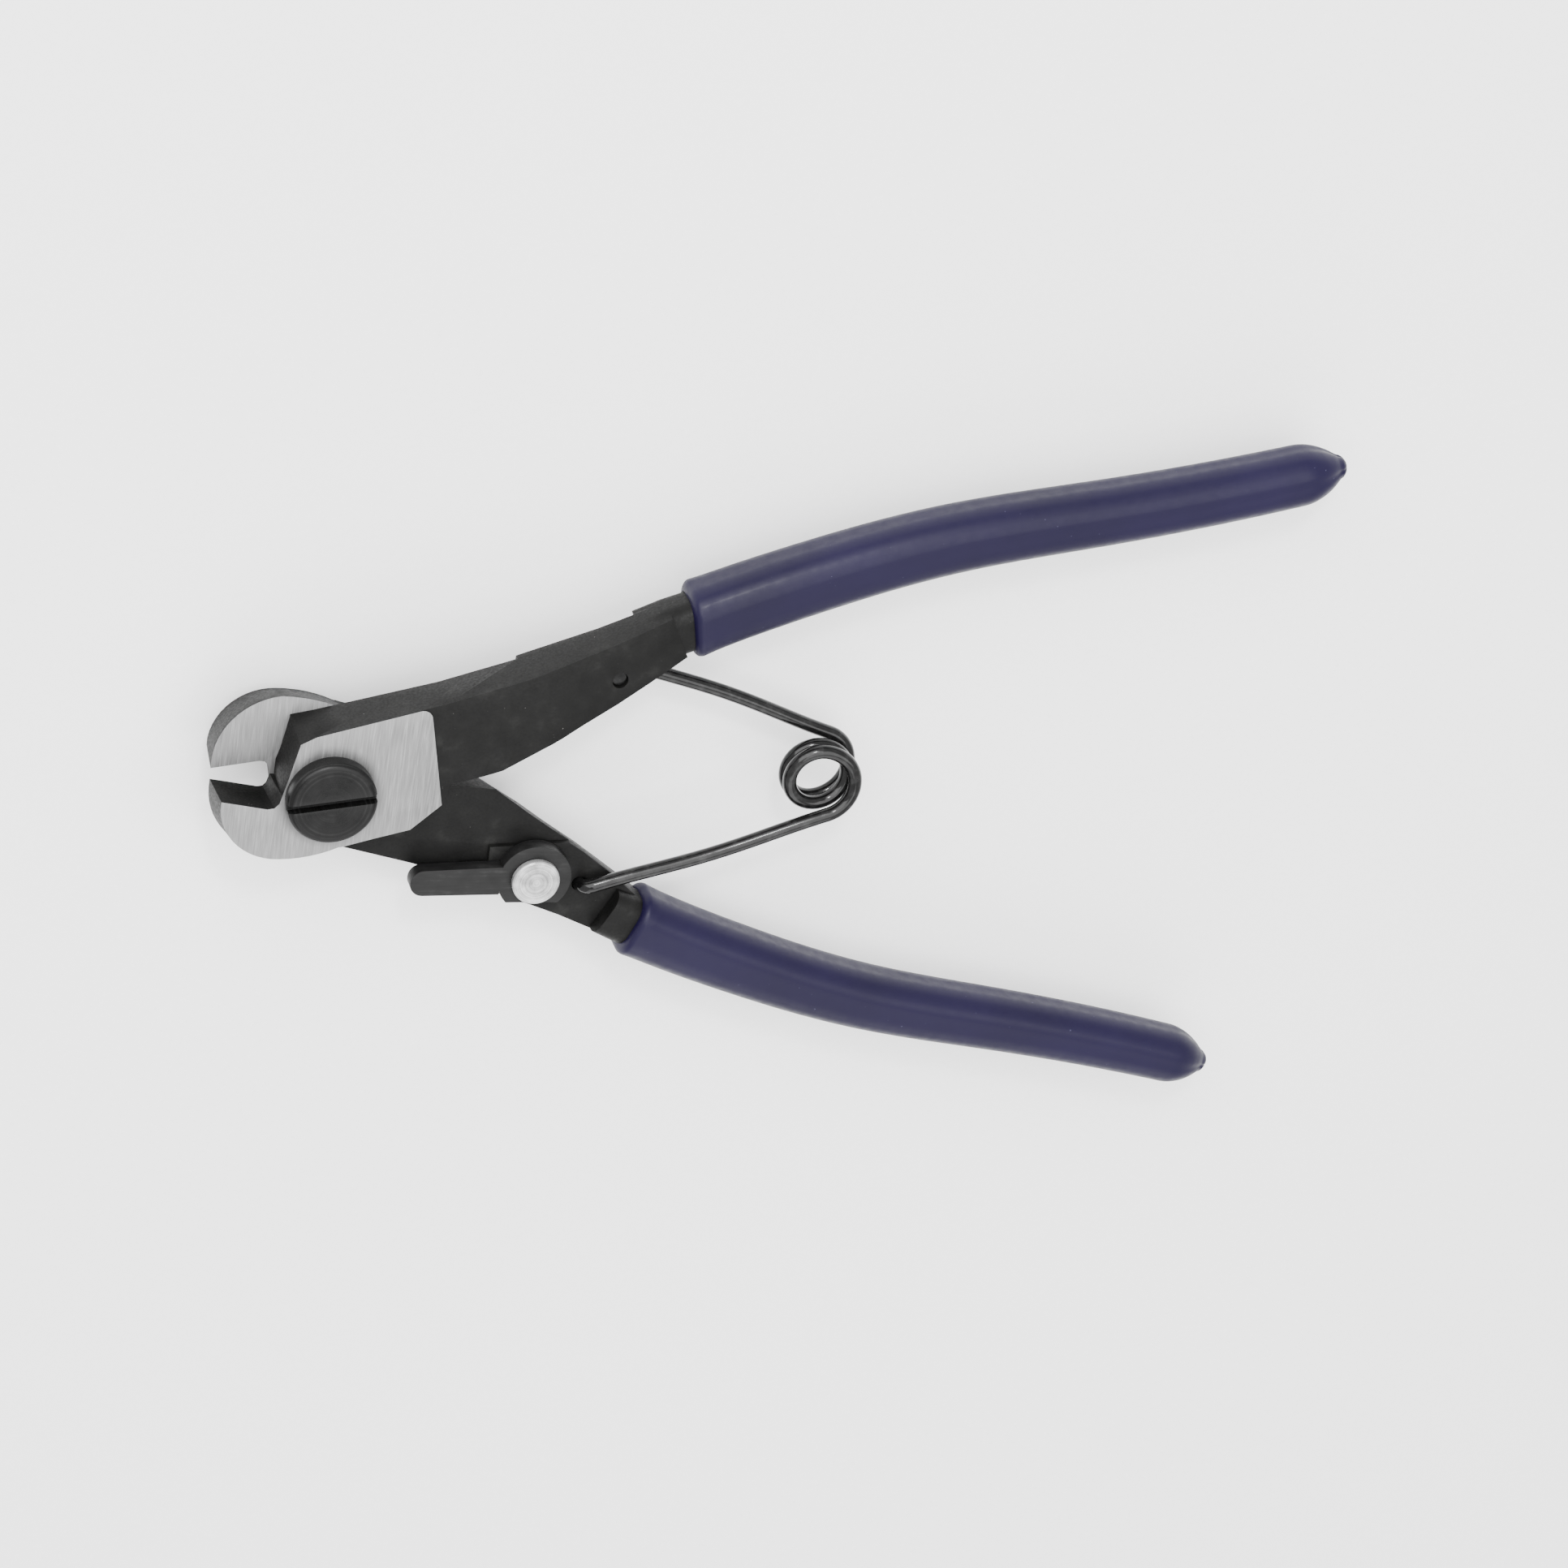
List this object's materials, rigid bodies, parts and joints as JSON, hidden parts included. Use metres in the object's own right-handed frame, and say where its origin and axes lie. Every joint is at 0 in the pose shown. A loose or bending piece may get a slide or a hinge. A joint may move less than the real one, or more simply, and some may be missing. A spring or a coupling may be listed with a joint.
{
  "type": "wire rope cutter",
  "caption": "Hand wire-rope cutter: crossed forged levers on a slotted pivot screw, hooked shear jaws, dipped handle sleeves, coil opening spring and a riveted closing latch.",
  "frame": {"origin": "on the pivot axis, at the end face of the pivot nut and screw", "axes": "+X from the pivot towards the handles along the middle of the open tool, +Z along the pivot towards the screw head, +Y towards the front lever's handle"},
  "size_m": [0.18, 0.1206, 0.0213],
  "materials": {
    "blackened_steel": "dark oxide forging with bright ground faces",
    "dipped_vinyl": "semi-gloss dip, dark indigo blue",
    "dark_fastener": "turned, darkened",
    "spring_steel": "oiled dark wire",
    "latch_steel": "pressed strip, satin",
    "bright_rivet": "bright turned head"
  },
  "bodies": {
    "front_half": {"front_lever": "blackened_steel", "front_handle_sleeve": "dipped_vinyl", "pivot_screw": "dark_fastener", "pivot_nut": "dark_fastener"},
    "rear_half": {"rear_lever": "blackened_steel", "rear_handle_sleeve": "dipped_vinyl", "latch_rivet": "bright_rivet"},
    "latch": {"latch_lever": "latch_steel"},
    "spring_rear_half": {"spring_rear_arm": "spring_steel"},
    "spring_front_half": {"spring_front_arm": "spring_steel"}
  },
  "joints": [
    {"name": "handle_pivot", "type": "hinge", "parent": "front_half", "child": "rear_half", "pos_m": [0, 0, 0.01125], "axis": [0, 0, 1], "range_deg": [0, 30], "stiffness_Nm_per_rad": 0.35},
    {"name": "latch_pivot", "type": "hinge", "parent": "rear_half", "child": "latch", "pos_m": [0.036, -0.0175, 0.0135], "axis": [0, 0, 1], "range_deg": [-15, 0]},
    {"name": "spring_rear_pivot", "type": "hinge", "parent": "front_half", "child": "spring_rear_half", "pos_m": [0.0443, 0.0197, 0.00875], "axis": [0, 0, 1], "range_deg": [0, 33], "deforming": ["spring_rear_arm"]},
    {"name": "spring_front_pivot", "type": "hinge", "parent": "rear_half", "child": "spring_front_half", "pos_m": [0.0443, -0.0197, 0.01375], "axis": [0, 0, 1], "range_deg": [-33, 0], "deforming": ["spring_front_arm"]}
  ],
  "couplings": [
    {"joint": "spring_rear_pivot", "follows": "handle_pivot", "ratio": 1.078},
    {"joint": "spring_front_pivot", "follows": "handle_pivot", "ratio": -1.078}
  ]
}
